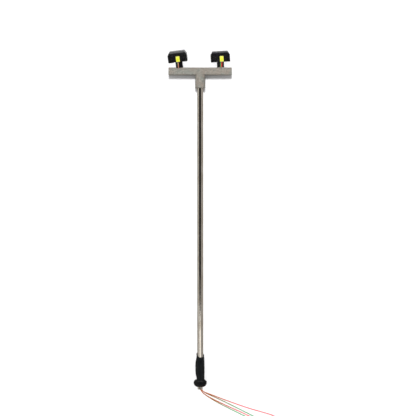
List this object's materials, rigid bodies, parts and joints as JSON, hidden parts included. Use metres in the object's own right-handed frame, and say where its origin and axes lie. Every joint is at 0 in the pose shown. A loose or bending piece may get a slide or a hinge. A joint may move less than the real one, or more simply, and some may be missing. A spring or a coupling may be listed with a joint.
{
  "type": "model railway light mast",
  "caption": "Model railway mast: slim metal tube with a sleeved foot, a flat crossarm, two swivelling heads that each hold a small lamp chip, and thin coloured wire leads",
  "frame": {"origin": "On the mast's axis, in the plane of the foot collar's lower face: where the mast meets the baseboard it is planted in.", "axes": "+Y runs up the mast, +X along the crossarm to the right as seen from the lamps' side, +Z is the way the lamps face when the heads point straight ahead. The row lies on its back, as it is packed and wired: to plant it, turn it +90 degrees about X so that +Y becomes up. It has no left-right rule of its own beyond the lamps' side."},
  "size_m": [0.0387, 0.1385, 0.0047],
  "materials": {
    "nickel_tube": "polished",
    "arm_plastic": "matte moulded",
    "sleeve_rubber": "satin shrunk sleeve",
    "collar_rubber": "gloss",
    "head_plastic": "gloss painted",
    "led_ceramic": "matte",
    "led_phosphor": "satin",
    "led_metal": "plated",
    "solder_metal": "tinned",
    "red_wire": "satin",
    "green_wire": "satin",
    "copper_wire": "enamelled",
    "paper_tie": "matte"
  },
  "bodies": {
    "mast": {"mast_tube": "nickel_tube", "crossarm": "arm_plastic", "foot_sleeve": "sleeve_rubber", "foot_collar": "collar_rubber", "coil_tie": "paper_tie", "lead_tips": "solder_metal", "left_feed_red": "red_wire", "left_lead_red": "red_wire", "left_coil_red": "red_wire", "left_feed_green": "green_wire", "left_lead_green": "green_wire", "left_coil_green": "green_wire", "right_feed_red": "red_wire", "right_lead_red": "red_wire", "right_coil_red": "red_wire", "right_feed_green": "green_wire", "right_lead_green": "green_wire", "right_coil_green": "green_wire"},
    "left_head": {"left_housing": "head_plastic", "left_stem": "head_plastic", "left_led_base": "led_ceramic", "left_led_phosphor": "led_phosphor", "left_led_terminals": "led_metal", "left_led_solder": "solder_metal", "left_wire_red": "copper_wire", "left_wire_green": "green_wire"},
    "right_head": {"right_housing": "head_plastic", "right_stem": "head_plastic", "right_led_base": "led_ceramic", "right_led_phosphor": "led_phosphor", "right_led_terminals": "led_metal", "right_led_solder": "solder_metal", "right_wire_red": "red_wire", "right_wire_green": "green_wire"}
  },
  "joints": [
    {"name": "left_head_swivel", "type": "hinge", "parent": "mast", "child": "left_head", "pos_m": [-0.00696, 0.10788, 0], "axis": [-0.1214, 0.9888, 0.0872], "range_deg": [-25, 35]},
    {"name": "right_head_swivel", "type": "hinge", "parent": "mast", "child": "right_head", "pos_m": [0.00693, 0.10788, 0], "axis": [-0.0435, 0.9952, -0.0872], "range_deg": [-30, 30]}
  ]
}
